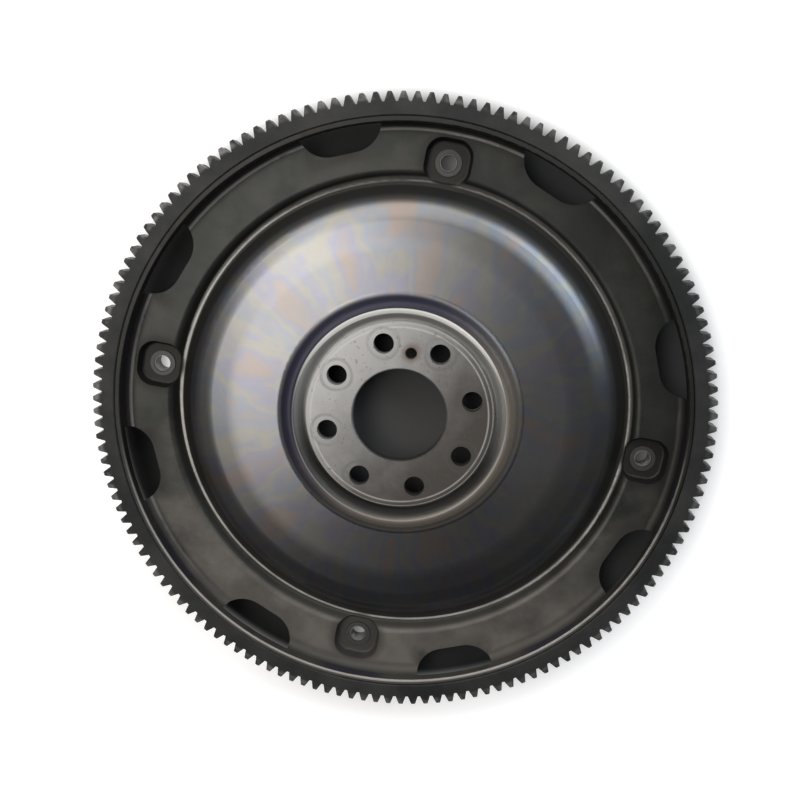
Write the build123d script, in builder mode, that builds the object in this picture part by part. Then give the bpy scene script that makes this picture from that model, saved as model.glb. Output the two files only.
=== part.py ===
"""Drive plate with its starter ring gear, for an automatic gearbox. Lengths in millimetres, angles in degrees.

The wheel lies flat on XY with its axis on Z and its front towards +Z. Heights are measured from the back of the
hub, which seats on the crankshaft, and +X runs through one of the four weld nuts.
"""

import os
from math import cos, pi, radians, sin, tan

from build123d import *

# Ring gear
tooth_count = 147
module = 2.25
pressure_angle = 20
root_depth_in_modules = 1.25
ring_bore_radius = 155.8
ring_back = -2.0
ring_width = 11.5
tooth_chamfer = 0.9
bore_chamfer = 0.5

# Sheet that the plate is pressed from, and the insides of its bends
sheet = 3.0
recess_bend = 2.0
crest_bend = 1.5
web_inner_bend = 4.0
web_bend = 60.0
shoulder_bend = 7.0
groove_bend = 1.4
flange_bend = 0.8
rim_bend = 4.0

# Crankshaft joint
bore_radius = 25.5
crank_bolt_circle_radius = 40.0
crank_bolt_count = 8
crank_bolt_hole_radius = 5.5
dowel_circle_radius = 34.5
dowel_angle = 90
dowel_hole_radius = 3.15

# Bolting disc that lies in the recess of the hub
disc_radius = 51.0
disc_thickness = 4.0
disc_clearance = 1.6
disc_chamfer = 0.6

# Crest round the recess, given where its two slopes would meet
crest_radius = 58.2
crest_height = 13.4

# Web between the crest and the groove, which falls more steeply outwards
web_inner_radius = 65.4
web_inner_height = 5.0
web_middle_radius = 92.0
web_middle_height = 3.6
shoulder_radius = 113.5
shoulder_height = 0.4

# Groove and flat flange
groove_inner_radius = 121.8
groove_outer_radius = 124.6
groove_depth = 5.5
flange_inner_radius = 127.6
flange_height = -2.0

# Upturned rim, which the ring gear is shrunk onto
rim_setback = 0.5
rim_edge_round = 0.7
hair = 0.01

# Windows pressed out of the corner between the flange and the rim
window_count = 8
window_depth = 15.8
window_length = 45.0
window_corner = 16.0
window_rise = 5.0

# Recessed seats of the weld nuts
nut_count = 4
nut_circle_radius = 135.0
seat_width = 25.0
seat_reach_inwards = 11.8
seat_reach_outwards = 12.5
seat_corner = 9.0
seat_depth = 6.0
seat_draft = 12
seat_floor_bend = 1.5

# Weld nuts
thread_minor_radius = 4.25
nut_width_across_flats = 17.0
nut_height = 7.0
collar_radius = 7.0
collar_rise = 0.8
collar_clearance = 0.1

# Weld beads behind the corner between the ring gear and the plate
weld_count = 8
weld_arc = 13
weld_radius = 2.2

os.makedirs("parts", exist_ok=True)


def polar(radius, angle):
    """The point of the XY plane at a radius and an angle."""
    return (radius * cos(radians(angle)), radius * sin(radians(angle)))


def save(piece, name):
    """Labels a finished piece and writes it to its own file."""
    piece.part.label = name
    export_step(piece.part, f"parts/{name}.step")


# Ring gear, with teeth whose flanks are straight at the pressure angle
pitch_radius = module * tooth_count / 2
tip_radius = pitch_radius + module
root_radius = pitch_radius - root_depth_in_modules * module
ring_front = ring_back + ring_width


def half_tooth_angle(radius):
    """Half of the angle that a tooth fills at a radius."""
    half_thickness = pi * module / 4 - (radius - pitch_radius) * tan(radians(pressure_angle))
    return half_thickness / radius * 180 / pi


def tooth_corners():
    """The four corners of each tooth in turn, anticlockwise from the one beside the dowel hole."""
    corners = []
    for tooth in range(tooth_count):
        middle = dowel_angle + tooth * 360 / tooth_count
        for radius, side in ((root_radius, -1), (tip_radius, -1), (tip_radius, 1), (root_radius, 1)):
            corners.append(polar(radius, middle + side * half_tooth_angle(radius)))
    return corners


# Section of the turned blank, whose chamfers the teeth keep
with BuildSketch(Plane.XZ) as blank_section:
    with Locations(((ring_bore_radius + tip_radius) / 2, (ring_back + ring_front) / 2)):
        blank = Rectangle(tip_radius - ring_bore_radius, ring_width)
    chamfer(blank.vertices().group_by(Axis.X)[-1], tooth_chamfer)
    chamfer(blank.vertices().group_by(Axis.X)[0], bore_chamfer)

with BuildPart() as ring_gear:
    with BuildSketch(Plane.XY.offset(ring_back)):
        with BuildLine():
            Polyline(*tooth_corners(), close=True)
        make_face()
        Circle(ring_bore_radius, mode=Mode.SUBTRACT)
    extrude(amount=ring_width)
    revolve(blank_section.sketch, axis=Axis.Z, mode=Mode.INTERSECT)
save(ring_gear, "ring_gear")

# Pressed plate: corners of its front, from the bore outwards, each with the inside radius of its bend
rim_top = ring_front - rim_setback
groove_bottom = flange_height - groove_depth
front_bends = [
    ((disc_radius + disc_clearance, sheet), recess_bend),
    ((crest_radius, crest_height), crest_bend),
    ((web_inner_radius, web_inner_height), web_inner_bend),
    ((web_middle_radius, web_middle_height), web_bend),
    ((shoulder_radius, shoulder_height), shoulder_bend),
    ((groove_inner_radius, groove_bottom), groove_bend),
    ((groove_outer_radius, groove_bottom), groove_bend),
    ((flange_inner_radius, flange_height), flange_bend),
    ((ring_bore_radius - sheet, flange_height), rim_bend),
]
front_start = Vector(bore_radius, sheet)
front_end = Vector(ring_bore_radius - sheet, rim_top)
front = [front_start] + [Vector(*corner) for corner, bend in front_bends] + [front_end]


def back_of_bend(before, corner, after):
    """Where the back of the sheet turns, and whether its front is the inside of the bend there."""
    run_in = (corner - before).normalized()
    run_out = (after - corner).normalized()
    to_back_in = Vector(run_in.Y, -run_in.X)
    to_back_out = Vector(run_out.Y, -run_out.X)
    reach = sheet / (1 + to_back_in.dot(to_back_out))
    return corner + (to_back_in + to_back_out) * reach, run_in.cross(run_out).Z > 0


back = [Vector(bore_radius, 0)]
front_radii = []
back_radii = []
for place, (corner, bend) in enumerate(front_bends, start=1):
    turn, front_inside = back_of_bend(front[place - 1], front[place], front[place + 1])
    back.append(turn)
    front_radii.append(bend if front_inside else bend + sheet)
    back_radii.append(bend + sheet if front_inside else bend)
back.append(Vector(ring_bore_radius, rim_top))

# Section of the sheet, and the open space in front of it
with BuildSketch(Plane.XZ) as sheet_section:
    with BuildLine():
        FilletPolyline(*front, radius=front_radii)
        FilletPolyline(*back, radius=back_radii)
        Line(front[0], back[0])
        Line(front[-1], back[-1])
    make_face()
with BuildSketch(Plane.XZ) as front_space:
    space_top = crest_height + sheet
    with BuildLine():
        FilletPolyline(*front, radius=front_radii)
        Polyline(front[-1], (front[-1].X, space_top), (front[0].X, space_top), front[0])
    make_face()

seat_length = seat_reach_outwards + seat_reach_inwards
seat_middle_radius = nut_circle_radius + (seat_reach_outwards - seat_reach_inwards) / 2
seat_back = flange_height - seat_depth - sheet
first_bolt_angle = 180 / crank_bolt_count
first_window_angle = 180 / window_count
window_cut_length = window_depth + 2 * window_corner
window_middle_radius = ring_bore_radius - window_depth + window_cut_length / 2

# Nut seats: the sheet pushed out behind, kept clear of the space in front, and the hollow of each seat
with BuildPart() as seat_bulges:
    with BuildSketch(Plane.XY.offset(flange_height - sheet / 2)):
        with PolarLocations(seat_middle_radius, nut_count):
            RectangleRounded(seat_length + 2 * sheet, seat_width + 2 * sheet, seat_corner + sheet)
    extrude(amount=-seat_depth - sheet / 2, taper=seat_draft)
    fillet(edges().group_by(Axis.Z)[0], seat_floor_bend + sheet)
    revolve(front_space.sketch, axis=Axis.Z, mode=Mode.SUBTRACT)
with BuildPart() as seat_hollows:
    with BuildSketch(Plane.XY.offset(flange_height)):
        with PolarLocations(seat_middle_radius, nut_count):
            RectangleRounded(seat_length, seat_width, seat_corner)
    extrude(amount=-seat_depth, taper=seat_draft)
    fillet(edges().group_by(Axis.Z)[0], seat_floor_bend)

with BuildPart() as drive_plate:
    revolve(sheet_section.sketch, axis=Axis.Z)
    rim_edges = edges().filter_by_position(Axis.Z, rim_top - hair, rim_top + hair)
    fillet(rim_edges, rim_edge_round)
    add(seat_bulges.part)
    add(seat_hollows.part, mode=Mode.SUBTRACT)
    with BuildSketch(Plane.XY.offset(seat_back)):
        with PolarLocations(nut_circle_radius, nut_count):
            Circle(collar_radius + collar_clearance)
    extrude(amount=sheet, mode=Mode.SUBTRACT)
    # Windows, through the flange, its bend and the foot of the rim
    with BuildSketch(Plane.XY.offset(flange_height - 2 * sheet)):
        with PolarLocations(window_middle_radius, window_count, first_window_angle):
            RectangleRounded(window_cut_length, window_length, window_corner)
    extrude(amount=2 * sheet + window_rise, mode=Mode.SUBTRACT)
    # Bolt holes and dowel hole of the hub
    with BuildSketch():
        with PolarLocations(crank_bolt_circle_radius, crank_bolt_count, first_bolt_angle):
            Circle(crank_bolt_hole_radius)
        with Locations(polar(dowel_circle_radius, dowel_angle)):
            Circle(dowel_hole_radius)
    extrude(amount=sheet, mode=Mode.SUBTRACT)
save(drive_plate, "drive_plate")

# Bolting disc, flat in the recess of the hub, with the plate's own holes
with BuildPart() as hub_disc:
    with BuildSketch(Plane.XY.offset(sheet)):
        Circle(disc_radius)
        Circle(bore_radius, mode=Mode.SUBTRACT)
        with PolarLocations(crank_bolt_circle_radius, crank_bolt_count, first_bolt_angle):
            Circle(crank_bolt_hole_radius, mode=Mode.SUBTRACT)
        with Locations(polar(dowel_circle_radius, dowel_angle)):
            Circle(dowel_hole_radius, mode=Mode.SUBTRACT)
    extrude(amount=disc_thickness)
    disc_rims = faces().sort_by(Axis.Z)[-1].edges().filter_by(lambda rim: rim.radius in (disc_radius, bore_radius))
    chamfer(disc_rims, disc_chamfer)
save(hub_disc, "hub_disc")

# Weld nuts, each a hexagon behind its seat with a round collar through the plate
with BuildPart() as weld_nuts:
    with BuildSketch(Plane.XY.offset(seat_back)):
        with PolarLocations(nut_circle_radius, nut_count):
            RegularPolygon(nut_width_across_flats / 2, 6, major_radius=False)
    extrude(amount=-nut_height)
    with BuildSketch(Plane.XY.offset(seat_back)):
        with PolarLocations(nut_circle_radius, nut_count):
            Circle(collar_radius)
    extrude(amount=sheet + collar_rise)
    with BuildSketch(Plane.XY.offset(seat_back - nut_height)):
        with PolarLocations(nut_circle_radius, nut_count):
            Circle(thread_minor_radius)
    extrude(amount=nut_height + sheet + collar_rise, mode=Mode.SUBTRACT)
save(weld_nuts, "weld_nuts")

# Weld beads, laid in the corner between the plate's bend and the back of the ring gear
with BuildSketch(Plane.XZ) as bead_section:
    with Locations((ring_bore_radius, ring_back)):
        Circle(weld_radius)
    add(blank_section.sketch_local, mode=Mode.SUBTRACT)
    add(sheet_section.sketch_local, mode=Mode.SUBTRACT)
with BuildPart() as one_bead:
    revolve(bead_section.sketch, axis=Axis.Z, revolution_arc=weld_arc)
with BuildPart() as weld_beads:
    with PolarLocations(0, weld_count, start_angle=-weld_arc / 2):
        add(one_bead.part)
save(weld_beads, "weld_beads")
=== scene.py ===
from math import cos, pi, radians, sin

import bpy
from mathutils import Euler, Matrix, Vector


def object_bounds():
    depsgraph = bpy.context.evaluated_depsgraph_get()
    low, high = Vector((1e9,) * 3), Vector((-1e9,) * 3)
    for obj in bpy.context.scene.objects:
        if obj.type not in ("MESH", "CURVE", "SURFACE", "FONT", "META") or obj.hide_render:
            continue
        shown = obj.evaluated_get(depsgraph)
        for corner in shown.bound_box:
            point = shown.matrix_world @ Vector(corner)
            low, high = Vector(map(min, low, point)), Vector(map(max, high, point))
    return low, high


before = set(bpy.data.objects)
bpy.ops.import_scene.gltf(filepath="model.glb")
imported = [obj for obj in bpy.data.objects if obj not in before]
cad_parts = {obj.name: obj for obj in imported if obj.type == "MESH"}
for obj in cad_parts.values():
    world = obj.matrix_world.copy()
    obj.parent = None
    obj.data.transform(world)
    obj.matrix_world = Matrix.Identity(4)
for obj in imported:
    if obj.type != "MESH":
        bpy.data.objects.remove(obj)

cad_low, cad_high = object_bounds()
scene = bpy.context.scene
scene.view_settings.view_transform = "Standard"

# Camera: held by hand over the wheel, a little past the middle and on the side of the top weld nut.
# Its place and lens come from where the nuts, the bolt holes and the rings lie in the picture.
picture_turn = 10.666
camera_lean = (-11.475, 4.015)
camera_data = bpy.data.cameras.new("camera")
camera_data.sensor_width = 36
camera_data.lens = 44.42
camera_data.clip_start = 0.01
camera = bpy.data.objects.new("camera", camera_data)
camera.location = (0.0151, 0.1188, 0.5241)
camera.rotation_euler = Euler([radians(angle) for angle in (*camera_lean, picture_turn)])
scene.collection.objects.link(camera)
scene.camera = camera


# Floor: plain pale card, wide enough for every view. The wheel stands on its four weld nuts, a finger's
# width over the card. The card is painted dark under the wheel as its shade, with a painted soft shadow
# round it, and is pale again below the nut holes.
class Socket:
    """One output in a node graph. Arithmetic on it adds Math nodes, and node() adds any other kind."""

    def __init__(self, socket):
        self.socket = socket

    def node(self, kind, settings=None, inputs=None, output=0):
        """A new node of a kind, with its settings made first and then its sockets set or linked."""
        made = self.socket.id_data.nodes.new("ShaderNode" + kind)
        for name, value in (settings or {}).items():
            if name == "stops":
                ramp = made.color_ramp
                while len(ramp.elements) < len(value):
                    ramp.elements.new(0.5)
                for stop, (place, colour) in zip(ramp.elements, value):
                    stop.position = place
                    stop.color = (*colour, 1)
            else:
                setattr(made, name, value)
        for name, value in (inputs or {}).items():
            if isinstance(value, Socket):
                self.socket.id_data.links.new(value.socket, made.inputs[name])
            else:
                made.inputs[name].default_value = value
        return Socket(made.outputs[output])

    def math(self, operation, first, second=0.0):
        return self.node("Math", {"operation": operation}, {0: first, 1: second})

    def __add__(self, other):
        return self.math("ADD", self, other)

    def __radd__(self, other):
        return self.math("ADD", other, self)

    def __sub__(self, other):
        return self.math("SUBTRACT", self, other)

    def __rsub__(self, other):
        return self.math("SUBTRACT", other, self)

    def __mul__(self, other):
        return self.math("MULTIPLY", self, other)

    def __rmul__(self, other):
        return self.math("MULTIPLY", other, self)

    def __truediv__(self, other):
        return self.math("DIVIDE", self, other)

    def __rtruediv__(self, other):
        return self.math("DIVIDE", other, self)

    def least(self, other):
        """The smaller of two values."""
        return self.math("MINIMUM", self, other)

    def most(self, other):
        """The larger of two values."""
        return self.math("MAXIMUM", self, other)

    def size(self):
        """The value without its sign."""
        return self.math("ABSOLUTE", self)

    def wave(self):
        """The sine of an angle."""
        return self.math("SINE", self)

    def off_middle(self):
        """How far a count is from the middle between two whole numbers, from -0.5 to 0.5."""
        return self.math("FRACT", self) - 0.5

    def rise(self, low, high):
        """0 below low, 1 above high, and smooth between them."""
        limits = {"Value": self, "From Min": low, "From Max": high}
        return self.node("MapRange", {"interpolation_type": "SMOOTHSTEP"}, limits)

    def band(self, low, high, soft):
        """1 between low and high, fading over soft on each side."""
        return self.rise(low - soft, low + soft) * (1 - self.rise(high - soft, high + soft))

    def mix(self, below, above):
        """A colour that goes from below to above as this value goes from 0 to 1."""
        shades = {0: self, 6: below, 7: above}
        for place in (6, 7):
            if isinstance(shades[place], tuple):
                shades[place] = (*shades[place], 1)
        return self.node("Mix", {"data_type": "RGBA"}, shades, 2)

    def lighter(self, times):
        """A colour made lighter or darker by a factor."""
        return self.node("VectorMath", {"operation": "SCALE"}, {0: self, "Scale": times})

    def noise(self, scale, detail=4.0, roughness=0.6):
        """Fractal noise, from 0 to 1, at this position."""
        return self.node(
            "TexNoise", {}, {"Vector": self, "Scale": scale, "Detail": detail, "Roughness": roughness})

    def ramp(self, stops):
        """A colour along a row of stops, each a place from 0 to 1 and a colour."""
        return self.node("ValToRGB", {"stops": stops}, {"Fac": self})

    def relief(self, strength=1.0, depth=0.001):
        """The surface's normal, with this height as fine relief. A height of 1 stands depth metres high."""
        return self.node("Bump", {}, {"Strength": strength, "Distance": depth, "Height": self})

    def parts(self):
        """The x, y and z of a position."""
        split = self.node("SeparateXYZ", {}, {"Vector": self}).socket.node
        return [Socket(split.outputs[axis]) for axis in "XYZ"]


def length(across, along):
    """The length of a flat vector from its two parts."""
    return across.math("SQRT", across * across + along * along)


def turn_of(across, along):
    """The turn of a flat vector about the wheel's axis, from -pi to pi."""
    return across.math("ARCTAN2", along, across)


def source(tree, kind, output):
    """An output of a node that has no inputs."""
    return Socket(tree.nodes.new("ShaderNode" + kind).outputs[output])


def finish_of(name):
    """A new material, with its shader node and the position in the wheel's own frame, in millimetres."""
    material = bpy.data.materials.new(name)
    material.use_nodes = True
    shader = material.node_tree.nodes["Principled BSDF"]
    place = source(material.node_tree, "TexCoord", "Object").lighter(1000)
    return material, shader, place


def feed(shader, **inputs):
    """Links or sets the shader's sockets. Names are written with underscores for spaces."""
    for name, value in inputs.items():
        socket = shader.inputs[name.replace("_", " ")]
        if isinstance(value, Socket):
            shader.id_data.links.new(value.socket, socket)
        elif isinstance(value, tuple):
            socket.default_value = (*value, 1)
        else:
            socket.default_value = value


def dress(piece, material):
    """Gives a piece one material in place of what it has."""
    piece.data.materials.clear()
    piece.data.materials.append(material)


def seen_directly(tree):
    """Masks for what the camera sees straight, and for what is seen in polished metal or through glass."""
    glossy = source(tree, "LightPath", "Is Glossy Ray")
    through = source(tree, "LightPath", "Is Transmission Ray")
    return source(tree, "LightPath", "Is Camera Ray"), glossy.most(through)


nut_circle_radius = 135.0
nut_hole_edge = (4.5, 6.5)
wheel_edge = (159, 177)


def to_nearest_nut(across, along):
    """How far a place on the wheel is from the axis of the nearest weld nut."""
    beside_x = length(across.size() - nut_circle_radius, along)
    beside_y = length(across, along.size() - nut_circle_radius)
    return beside_x.least(beside_y)


floor_size = 6.0
pale_card = (0.86, 0.86, 0.86)
# Painted shade under the wheel, a little lighter below the bore.
painted_shade_below_bore = (0.055, 0.055, 0.055)
painted_shade_below_plate = (0.026, 0.026, 0.026)
bpy.ops.mesh.primitive_plane_add(size=floor_size, location=(0, 0, cad_low.z))
floor = bpy.context.object
floor.name = "floor"
card, card_shader, at = finish_of("pale_card")
across, along, up = at.parts()
radius = length(across, along)
below_nut = 1 - to_nearest_nut(across, along).rise(*nut_hole_edge)
left_nut, bottom_nut = (0 - across).rise(100, 120), (0 - along).rise(100, 120)
# Painted shade: the card is pale only outside the wheel's edge and in spots below the nut holes, most below
# the left one.
outside_painted_shade = radius.rise(*wheel_edge).most(below_nut * (0.12 + left_nut * 0.88 + bottom_nut * 0.3))
straight, mirrored = seen_directly(card.node_tree)
# Painted shadow: the glow is weaker near the wheel, which gives a soft shade round it.
glow_with_painted_shadow = 0.30 + radius.rise(172, 240) * 0.45
feed(
    card_shader,
    Base_Color=outside_painted_shade.mix(radius.rise(28, 60).mix(painted_shade_below_bore, painted_shade_below_plate), pale_card),
    Roughness=0.9,
    Specular_IOR_Level=0.1,
    Emission_Color=(outside_painted_shade * straight.most(mirrored) * glow_with_painted_shadow).mix((0.0, 0.0, 0.0), (1.0, 1.0, 1.0)),
    Emission_Strength=1.0,
)
dress(floor, card)


# Studio light: a long soft lamp past the top of the wheel, one overhead, a weak cool one from the right
# and a small one from the left, in a dim room with a pale backdrop all round at eye height.
def softbox(name, azimuth, tilt, distance, size, power, colour):
    """A lamp that faces the wheel, placed by its turn from the picture's right and its lean from upright."""
    data = bpy.data.lights.new(name, "AREA")
    data.shape = "RECTANGLE"
    data.size, data.size_y = size
    data.energy = power
    data.color = colour
    lamp = bpy.data.objects.new(name, data)
    turn = radians(azimuth + picture_turn)
    lean = radians(tilt)
    place = Vector((cos(turn) * sin(lean), sin(turn) * sin(lean), cos(lean))) * distance
    lamp.location = place
    lamp.rotation_euler = (-place).to_track_quat("-Z", "Y").to_euler()
    scene.collection.objects.link(lamp)


softbox("lamp_top", 110, 47, 1.3, (1.6, 0.7), 10.5, (1.0, 0.96, 0.90))
softbox("lamp_overhead", 150, 21, 1.4, (0.7, 0.76), 8.6, (1.0, 0.97, 0.95))
softbox("lamp_right", 38, 55, 1.3, (0.9, 0.55), 7.5, (0.84, 0.93, 1.0))
softbox("lamp_left", 206, 26, 1.3, (0.5, 0.4), 2.4, (1.0, 0.94, 0.9))

dim_room = (0.07, 0.072, 0.077)
pale_backdrop = (0.88, 0.88, 0.89)
world = bpy.data.worlds.new("room")
world.use_nodes = True
low_sky = 1 - source(world.node_tree, "TexCoord", "Generated").parts()[2].rise(0.12, 0.33)
straight, mirrored = seen_directly(world.node_tree)
backdrop = straight.most(mirrored * low_sky)
feed(world.node_tree.nodes["Background"], Color=backdrop.mix(dim_room, pale_backdrop), Strength=1.0)
scene.world = world


# Drive plate: one disc of cold-rolled steel, pressed to a dished web with a groove and a flat flange.
# The web is bare and satin, with the thin rainbow tints of heat and oil, and the flange is dull with grime;
# shade and highlights are painted onto both.
# Its sizes are radii from the wheel's axis in millimetres, each with the width over which a finish fades.
recess_edge = (56.2, 57.8)
crest_line = 57.5
hub_foot = (63.5, 67)
shoulder_bend = (103, 116)
web_edge = (112, 121)
groove = (116.5, 127)
groove_line = 123.9
window_edge = (132, 142)
rim_bend = (149.4, 150.8)
rim_wall_face = (151.5, 152.2)
rim_wall_heights = (5, 8)
rim_round = (152.7, 153.9)
rim_round_heights = (8.1, 8.5)
nut_seat = (11, 19)
weld_reach = (138, 149)
windows = 8
window_turn = 2 * pi / windows
plate, shader, at = finish_of("pressed_steel")
across, along, up = at.parts()
radius = length(across, along)
front = source(plate.node_tree, "NewGeometry", "Normal").parts()[2].rise(0.0, 0.3)
to_upper_left = (along * 0.564 - across * 0.826) / radius
to_top = (along * 0.983 - across * 0.185) / radius
to_nut = to_nearest_nut(across, along)
blotch = at.noise(0.018, 5)
smear = at.noise(0.03, 6, 0.65)
fine = at.noise(0.9, 2, 0.5)

# The web's bare steel, with its tints in rays from the hub, a painted sheen at the upper left and painted
# shade at the bottom
plain_steel = (0.155, 0.152, 0.150)
ray_length, ray_width = 0.35, 60
rays = {"X": across / radius * ray_width, "Y": along / radius * ray_width, "Z": radius * ray_length}
tint = at.node("CombineXYZ", {}, rays).noise(0.055, 3, 0.55).ramp([
    (0.34, (0.180, 0.160, 0.146)),
    (0.43, (0.152, 0.155, 0.186)),
    (0.50, (0.178, 0.175, 0.156)),
    (0.57, (0.147, 0.160, 0.182)),
    (0.66, (0.188, 0.162, 0.148)),
])
tinted = front * (1 - blotch.rise(0.46, 0.8))
# Painted sheen: the web is made lighter towards the upper left.
painted_sheen = (to_upper_left + smear * 0.8).rise(0.5, 1.4) * front
# Painted shade: the web is made darker towards the bottom.
painted_shade_low = (smear * 0.6 - to_top).rise(0.5, 1.3) * front
web_steel = tinted.mix(plain_steel, tint).lighter(1 + painted_sheen * 0.14 - painted_shade_low * 0.32)

# The flange's dull steel, near black at the top, dusted brown and painted lighter towards the bottom
oiled = smear.rise(0.35, 0.66).mix((0.022, 0.024, 0.022), (0.036, 0.036, 0.032))
dusted_and_painted_light = smear.rise(0.30, 0.70).mix((0.078, 0.070, 0.062), (0.118, 0.108, 0.094))
# Dust and painted light: the flange is made paler, rougher and less metallic towards the bottom.
dust_and_painted_light = (across * 0.1 - along * 0.95 + smear * 110).rise(60, 200)
flange_steel = dust_and_painted_light.mix(oiled, dusted_and_painted_light)
on_flange = radius.rise(*web_edge)

# The hub recess: its wall, painted light at the top and shaded at the bottom, the band of blue heat tint
# outside it, painted darker at the upper left, and a painted highlight on the crest between them
# Painted light: the recess wall is light at the top and dark at the bottom.
recess_wall_painted_light = (to_top + smear * 0.4).rise(-0.4, 0.7).mix((0.03, 0.028, 0.025), (0.30, 0.295, 0.285))
# Heat tint and painted shade: the band is dark blue at the upper left and brown towards the lower right.
heat_tint_and_painted_shade = (to_upper_left + smear * 0.6).rise(-0.4, 0.9).mix((0.115, 0.10, 0.082), (0.014, 0.014, 0.030))
# Painted highlight: the crest line is near white and wider at the top, and dim at the bottom.
painted_crest_highlight = to_top.rise(0.0, 0.9).mix((0.18, 0.172, 0.16), (0.88, 0.87, 0.82))
off_crest = (radius - (crest_line - to_top * 0.6)).size() - to_top.rise(0.1, 1.0)
hub_steel = off_crest.rise(0.1, 0.6).mix(painted_crest_highlight, radius.rise(*recess_edge).mix(recess_wall_painted_light, heat_tint_and_painted_shade))
in_hub = 1 - radius.rise(*hub_foot)
bare = in_hub.mix(on_flange.mix(web_steel, flange_steel), hub_steel)

# Painted shade in the groove, in the nut seats, along the foot of the rim and beside the windows, and grime
# over the back
grease_and_painted_shade_black = (0.018, 0.017, 0.015)
count = turn_of(across, along) * (1 / window_turn)
beside_window = count.off_middle().size() * radius * window_turn
# Painted shade: the flange is darkened beside the windows.
painted_shade_by_windows = radius.rise(*window_edge) * (1 - beside_window.rise(17, 27)) * smear.rise(0.4, 0.6)
# Painted shade: the recessed nut seats are darkened.
painted_shade_in_seats = 1 - to_nut.rise(*nut_seat)
# Painted shade: the corner at the foot of the rim is darkened.
painted_shade_at_rim_foot = radius.rise(146, 150) * 0.7
back_grime = (1 - front) * smear.rise(0.25, 0.80) * 0.6
# Painted shade darkens the groove; only the back's darkening is grime.
grime_and_painted_shade = radius.band(*groove, 1.5).most(painted_shade_in_seats).most(painted_shade_at_rim_foot).most(painted_shade_by_windows).most(back_grime)
grime_and_painted_shade = (grime_and_painted_shade * (0.6 + smear * 0.6)).least(1.0)

# Painted highlights on edges: the outer lip of the groove, and the bend, the wall and the front edge of the
# rim
painted_highlight_steel = (0.36, 0.35, 0.33)
# Painted highlight: a bright line near the groove's lip that shifts with the side of the wheel, as a
# reflection would.
off_line = (radius - (groove_line + along / radius * 1.3 + across / radius * 0.6)).size()
highlight_strength = 0.2 + at.noise(0.06, 6, 0.75) * 1.3 - (across / radius).rise(0.3, 1.0) * 0.3
painted_groove_highlight = (1 - off_line.rise(0.4, 1.3 + along / radius * 0.6)) * to_nut.rise(11, 14) * highlight_strength
# Painted highlights on the rim's bend, wall and front edge, each only on some sides of the wheel.
rim_foot = radius.band(*rim_bend, 0.5) * (along - across + 60).rise(0, 160)
rim_wall = up.band(*rim_wall_heights, 0.5) * radius.rise(*rim_wall_face) * (across - along).rise(20, 130)
rim_edge = up.rise(*rim_round_heights) * radius.band(*rim_round, 0.3) * (across * 0.2 - along).rise(0, 90)
painted_rim_highlight = rim_foot.most(rim_wall).most(rim_edge * (1.1 + smear * 1.6))
painted_highlights = painted_groove_highlight.most(painted_rim_highlight * 0.4) * front

# Blue heat marks at the back, round the weld beads that lie midway between the windows
heat_blue = (0.035, 0.034, 0.060)
beside_weld = (count + 0.5).off_middle().size() * radius * window_turn
weld_heat = radius.rise(*weld_reach) * (1 - (beside_weld + smear * 8).rise(14, 28)) * (1 - front)

bend = (1 - radius.rise(*shoulder_bend)) * (front * 2 - 1) * 1.8
feed(
    shader,
    Normal=(fine * 0.02 + smear * 0.09 + bend).relief(),
    Base_Color=painted_highlights.mix((grime_and_painted_shade * 0.85).mix(weld_heat.mix(bare, heat_blue), grease_and_painted_shade_black), painted_highlight_steel),
    Metallic=1 - on_flange * (0.25 + dust_and_painted_light * 0.45) - in_hub * 0.6,
    Roughness=(
        0.29 + blotch * 0.10 + fine * 0.04 + on_flange * (0.10 + dust_and_painted_light * 0.14) + grime_and_painted_shade * 0.1 + in_hub * 0.12
    ),
)
dress(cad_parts["drive_plate"], plate)


# Ring gear: a dark hardened ring with 147 teeth, shrunk onto the rim of the plate and welded behind.
# The faces keep their dark scale, and the teeth are rubbed paler where the starter pinion meets them.
tooth_flanks = (162.8, 165.0)
rubbed_tooth = (0.17, 0.167, 0.162)
gear, shader, at = finish_of("hardened_steel")
across, along, up = at.parts()
scale_patches = at.noise(0.022, 6)
scale = scale_patches.rise(0.35, 0.7).mix((0.016, 0.017, 0.017), (0.036, 0.036, 0.035))
rubbed = length(across, along).rise(*tooth_flanks) * at.noise(0.12, 3).rise(0.4, 0.65)
pitted = at.noise(0.55, 5, 0.7) + scale_patches
feed(
    shader,
    Normal=pitted.relief(0.35, 0.0004),
    Base_Color=(rubbed * 0.6).mix(scale, rubbed_tooth),
    Metallic=0.4,
    Roughness=0.58 - rubbed * 0.2,
    Specular_IOR_Level=0.25,
)
dress(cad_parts["ring_gear"], gear)


# Bolting disc: flat ground steel with the eight bolt holes and the dowel hole, dulled and specked with rust,
# and painted lighter towards the upper left.
# Its two edges were turned on a lathe, and the bolt heads have left rings round the holes.
bolt_circle_radius = 40
bolts = 8
bolt_turn = 2 * pi / bolts
dowel_place = 34.5
rust_brown = (0.085, 0.042, 0.022)
head_rub = (0.07, 0.066, 0.06)
fresh_edge = (0.5, 0.49, 0.47)
disc, shader, at = finish_of("ground_steel")
across, along, up = at.parts()
radius = length(across, along)
dull = at.noise(0.05, 6, 0.65)
specks = at.noise(0.42, 4).rise(0.60, 0.70)
# Painted light: the disc is much lighter towards the upper left and darker towards the lower right.
painted_light_upper_left = (along * 0.55 - across * 0.95 + dull * 50).rise(-14, 92)
ground = painted_light_upper_left.mix((0.052, 0.047, 0.041), (0.40, 0.395, 0.39))
beside_hole = (turn_of(across, along) * (1 / bolt_turn)).off_middle() * (bolt_turn * bolt_circle_radius)
to_hole = length(radius - bolt_circle_radius, beside_hole)
head_mark = to_hole.band(7.6, 9.2, 0.5) * dull.rise(0.35, 0.6)
to_dowel = length(across, along - dowel_place)
rust = (1 - (to_dowel + dull * 5).rise(4.5, 9.5)).most(specks * 0.75)
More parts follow.
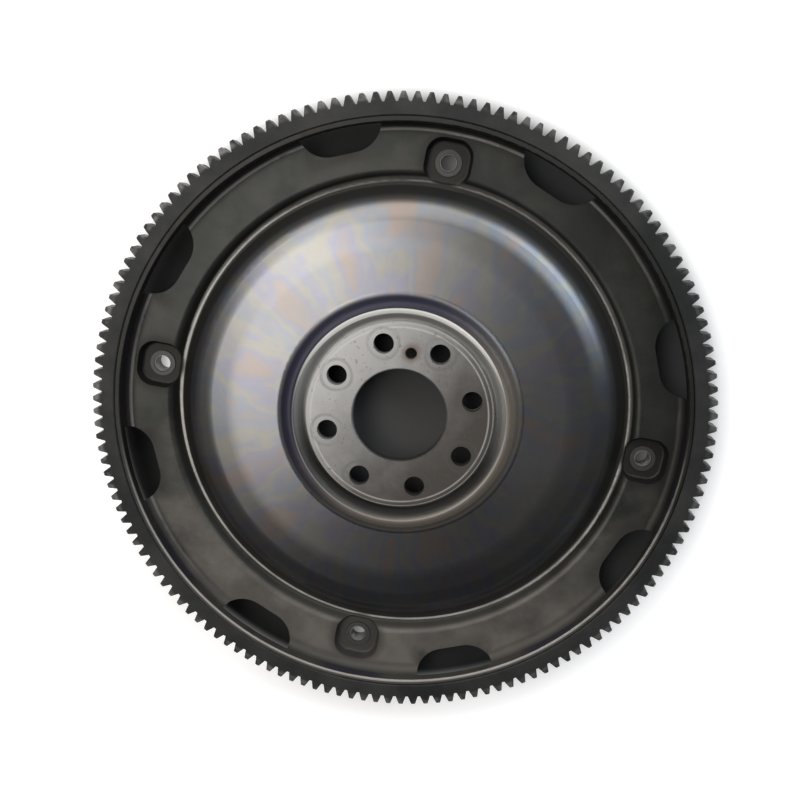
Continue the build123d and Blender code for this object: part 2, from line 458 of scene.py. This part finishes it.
turned_edge = radius.band(47.6, 48.4, 0.3).most(radius.band(50.2, 51.2, 0.2))
turning = (radius * 9).wave() * 0.4 + dull * 2 + specks * -1.5
faced = (head_mark * 0.35).mix((turned_edge * 0.5).mix(ground, fresh_edge), head_rub)
feed(
    shader,
    Normal=turning.relief(0.2, 0.0002),
    Base_Color=(rust * 0.8).mix(faced, rust_brown),
    Metallic=0.45 - rust * 0.4,
    Roughness=0.46 + dull * 0.15,
)
dress(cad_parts["hub_disc"], disc)


# Weld nuts: plain steel hexagons behind the flange, whose round collars show in the recessed seats.
# The thread is cut clean, and its turns are fine relief on the wall of the hole.
thread_pitch = 1.5
thread_edge = (4.4, 4.9)
clean_thread = (0.20, 0.197, 0.19)
dark_collar = (0.045, 0.044, 0.042)
nut, shader, at = finish_of("nut_steel")
across, along, up = at.parts()
to_nut = to_nearest_nut(across, along)
oily = at.noise(0.09, 4)
turns = (up * (2 * pi / thread_pitch)).wave() * (1 - to_nut.rise(*thread_edge))
collar = up.rise(-11, -9.5)
coated = oily.mix((0.09, 0.088, 0.085), (0.18, 0.175, 0.17))
cut_thread = 1 - to_nut.rise(4.3, 4.6)
feed(
    shader,
    Normal=(turns * 0.35 + oily * 0.15).relief(),
    Base_Color=cut_thread.mix(collar.mix(coated, dark_collar), clean_thread),
    Metallic=0.9 - collar * 0.4,
    Roughness=0.4 + collar * 0.1,
)
dress(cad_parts["weld_nuts"], nut)


# Weld beads: short runs of weld metal that join the plate to the back of the ring gear.
# Each was laid along the joint in small steps, which stand as ripples across it.
ripple_spacing = 1.3
bead, shader, at = finish_of("weld_metal")
across, along, up = at.parts()
burnt = at.noise(0.07, 4)
run = turn_of(across, along) * length(across, along) + at.noise(0.12) * 1.2
ripple = (run * (2 * pi / ripple_spacing)).wave() * 0.12
feed(
    shader,
    Normal=ripple.relief(),
    Base_Color=burnt.rise(0.35, 0.65).mix((0.05, 0.042, 0.040), (0.17, 0.15, 0.13)),
    Metallic=0.8,
    Roughness=0.5,
)
dress(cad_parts["weld_beads"], bead)
